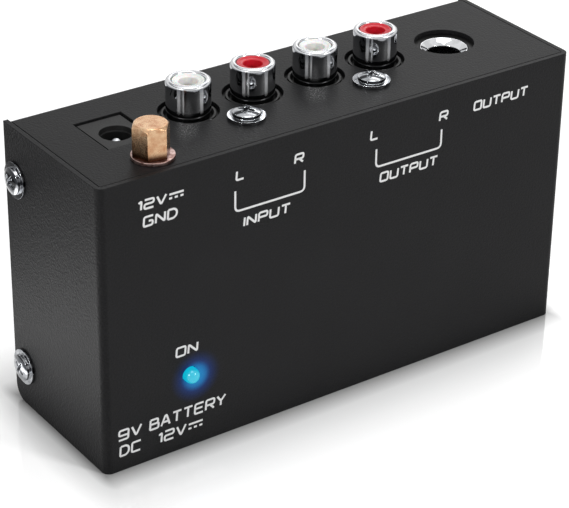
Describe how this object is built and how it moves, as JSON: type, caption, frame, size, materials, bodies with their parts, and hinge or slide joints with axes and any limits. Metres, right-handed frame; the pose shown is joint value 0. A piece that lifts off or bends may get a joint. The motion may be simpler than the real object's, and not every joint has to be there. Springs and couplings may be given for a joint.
{
  "type": "phono preamp",
  "caption": "Black sheet-steel phono preamp on its long edge: phono jacks, power jack, ground nut and 6.35 mm jack on top, lit LED on the labelled face, battery door behind.",
  "frame": {"origin": "middle of the narrow face that the case stands on", "axes": "+Z out of the jack panel, -Y out of the labelled face, +X along the case from the ground terminal to the 6.35 mm jack"},
  "size_m": [0.108, 0.0384, 0.0649],
  "materials": {
    "steel_coat": "black fine-texture powder coat",
    "screw_chrome": "bright chrome plate",
    "jack_chrome": "bright nickel plate",
    "jack_white": "moulded, semi-gloss",
    "jack_red": "moulded, semi-gloss",
    "jack_black": "moulded, satin",
    "box_black": "moulded, fine texture",
    "rubber_black": "matte",
    "contact_brass": "stamped and plated",
    "terminal_copper": "turned, coppery brass",
    "tin_plate": "tin or zinc plate",
    "led_lens": "lit cyan-blue epoxy",
    "board_green": "glass-epoxy laminate with solder mask",
    "part_black": "moulded epoxy",
    "can_blue": "heat-shrunk sleeve",
    "film_red": "dipped epoxy",
    "disc_orange": "dipped ceramic",
    "resistor_tan": "lacquered carbon film",
    "board_brown": "phenolic laminate",
    "battery_wrap": "plain printed steel jacket",
    "wire_green": "PVC insulation",
    "wire_red": "PVC insulation",
    "wire_black": "PVC insulation"
  },
  "bodies": {
    "case": {"cover": "steel_coat", "chassis": "steel_coat", "cover_screws": "screw_chrome", "rubber_feet": "rubber_black", "input_jack_block": "jack_black", "output_jack_block": "jack_black", "input_left_shell": "jack_chrome", "input_right_shell": "jack_chrome", "output_left_shell": "jack_chrome", "output_right_shell": "jack_chrome", "input_left_insulator": "jack_white", "input_right_insulator": "jack_red", "output_left_insulator": "jack_white", "output_right_insulator": "jack_red", "jack_contacts": "contact_brass", "jack_block_screws": "screw_chrome", "dc_jack_body": "jack_black", "dc_jack_pin": "tin_plate", "dc_jack_spring": "contact_brass", "ground_stud": "terminal_copper", "ground_inner_nut": "tin_plate", "ground_lug": "tin_plate", "ground_wire": "wire_green", "phone_jack_body": "jack_black", "phone_jack_ferrule": "jack_chrome", "phone_jack_springs": "contact_brass", "led_lens": "led_lens", "led_leads": "tin_plate", "led_spacer": "jack_black", "circuit_board": "board_green", "board_standoffs": "tin_plate", "board_screws": "tin_plate", "preamp_chip": "part_black", "chip_legs": "tin_plate", "electrolytic_capacitors": "can_blue", "filter_capacitor": "can_blue", "film_capacitors": "film_red", "ceramic_capacitors": "disc_orange", "resistors": "resistor_tan", "regulator": "part_black", "diode": "part_black", "switch_frame": "tin_plate", "switch_base": "board_brown", "switch_pins": "tin_plate", "battery_box": "box_black", "battery_box_screws": "tin_plate", "door_hinge_pin": "tin_plate", "battery": "battery_wrap", "battery_terminals": "tin_plate", "battery_contacts": "contact_brass", "battery_lead_red": "wire_red", "battery_lead_black": "wire_black"},
    "ground_washer": {"ground_washer": "terminal_copper"},
    "ground_nut": {"ground_nut": "terminal_copper"},
    "switch_knob": {"switch_knob": "jack_black"},
    "battery_door": {"battery_door": "box_black"}
  },
  "joints": [
    {"name": "washer_lift", "type": "slide", "parent": "case", "child": "ground_washer", "axis": [0, 0, 1], "range_m": [0, 0.0021]},
    {"name": "ground_nut_turn", "type": "hinge", "parent": "ground_washer", "child": "ground_nut", "pos_m": [-0.0383, -0.0108, 0.061], "axis": [0, 0, 1], "range_deg": [0, 1080]},
    {"name": "power_switch_slide", "type": "slide", "parent": "case", "child": "switch_knob", "axis": [1, 0, 0], "range_m": [0, 0.006]},
    {"name": "battery_door_swing", "type": "hinge", "parent": "case", "child": "battery_door", "pos_m": [-0.00205, 0.0181, 0.0356], "axis": [1, 0, 0], "range_deg": [0, 110]}
  ]
}
